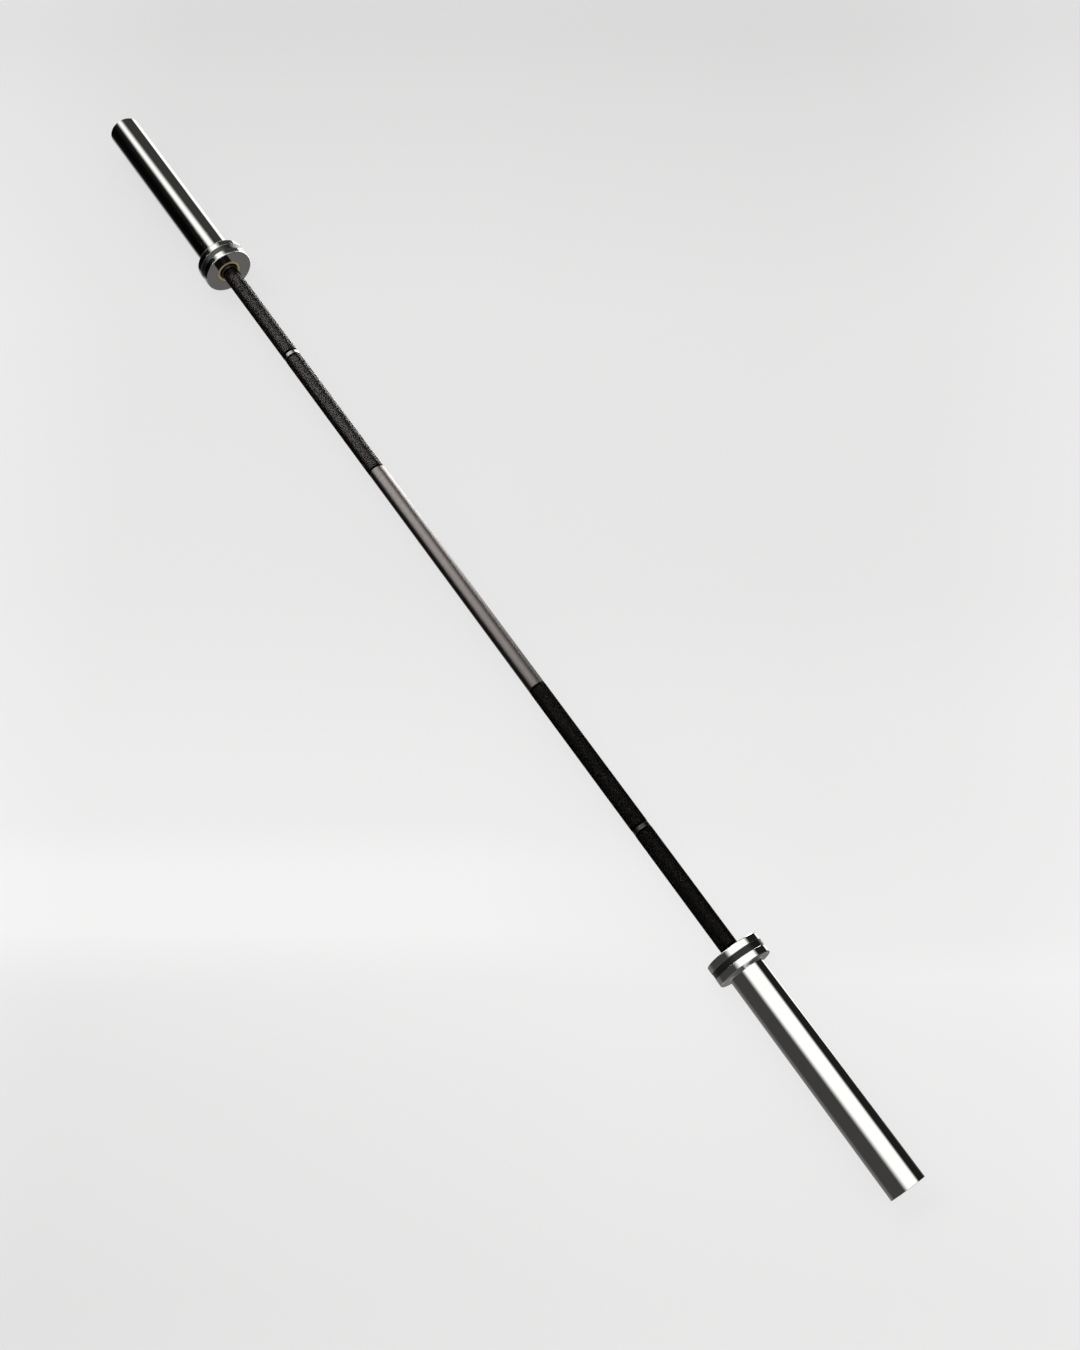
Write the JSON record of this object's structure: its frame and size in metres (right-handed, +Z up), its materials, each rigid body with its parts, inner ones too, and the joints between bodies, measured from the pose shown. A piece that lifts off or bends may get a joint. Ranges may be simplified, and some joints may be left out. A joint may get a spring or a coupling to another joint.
{
  "type": "barbell",
  "caption": "Long weightlifting bar with a knurled dark shaft and chrome sleeves that spin on bronze bushings behind grooved collars.",
  "frame": {"origin": "on the bar's axis, halfway between its ends", "axes": "+X along the bar towards the right sleeve, +Z up when the bar lies on its collars"},
  "size_m": [2.01, 0.0768, 0.0768],
  "materials": {
    "chrome": "polished hard chrome",
    "black_steel": "satin black oxide, knurled grips",
    "band_black": "satin black inlay",
    "bronze": "machined oiled bronze",
    "plain_steel": "ground",
    "spring_steel": "phosphated spring steel",
    "cap_black": "black anodised",
    "rubber": "moulded nitrile"
  },
  "bodies": {
    "shaft": {"shaft": "black_steel", "left_outer_thrust_washer": "plain_steel", "left_snap_ring": "spring_steel", "right_outer_thrust_washer": "plain_steel", "right_snap_ring": "spring_steel"},
    "left_end": {"left_sleeve": "chrome", "left_collar": "chrome", "left_collar_band": "band_black", "left_inner_bushing": "bronze", "left_inner_thrust_washer": "plain_steel", "left_outer_bushing": "bronze", "left_end_cap": "cap_black", "left_cap_o_ring": "rubber", "left_retaining_ring": "spring_steel"},
    "right_end": {"right_sleeve": "chrome", "right_collar": "chrome", "right_collar_band": "band_black", "right_inner_bushing": "bronze", "right_inner_thrust_washer": "plain_steel", "right_outer_bushing": "bronze", "right_end_cap": "cap_black", "right_cap_o_ring": "rubber", "right_retaining_ring": "spring_steel"}
  },
  "joints": [
    {"name": "left_sleeve_spin", "type": "hinge", "parent": "shaft", "child": "left_end", "pos_m": [-0.655, 0, 0], "axis": [1, 0, 0], "continuous": true},
    {"name": "right_sleeve_spin", "type": "hinge", "parent": "shaft", "child": "right_end", "pos_m": [0.655, 0, 0], "axis": [1, 0, 0], "continuous": true}
  ]
}
